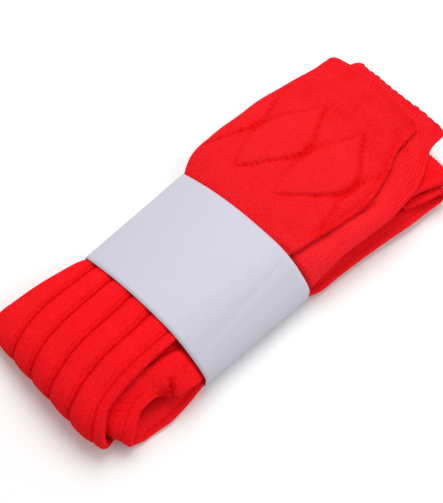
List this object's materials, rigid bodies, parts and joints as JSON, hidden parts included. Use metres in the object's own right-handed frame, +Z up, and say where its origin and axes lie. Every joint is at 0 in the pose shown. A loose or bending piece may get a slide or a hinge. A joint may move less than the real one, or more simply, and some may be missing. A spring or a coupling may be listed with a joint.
{
  "type": "pair of kilt socks",
  "caption": "Long ribbed knit kilt socks with leaf-pattern cuffs, laid one on the other, folded up and held by a plain paper band.",
  "frame": {"origin": "middle of the underside's bounding box, on the surface that the pile rests on", "axes": "+X along the pile towards the open cuffs, +Y towards the side away from the camera, +Z up"},
  "size_m": [0.3304, 0.1462, 0.0397],
  "materials": {
    "red_knit": "matte ribbed wool-blend knit",
    "white_paper": "smooth satin paper, blank"
  },
  "bodies": {
    "root": {"outer_sock": "red_knit", "inner_sock": "red_knit", "outer_cuff": "red_knit", "inner_cuff": "red_knit", "folded_feet": "red_knit", "paper_band": "white_paper"}
  },
  "joints": []
}
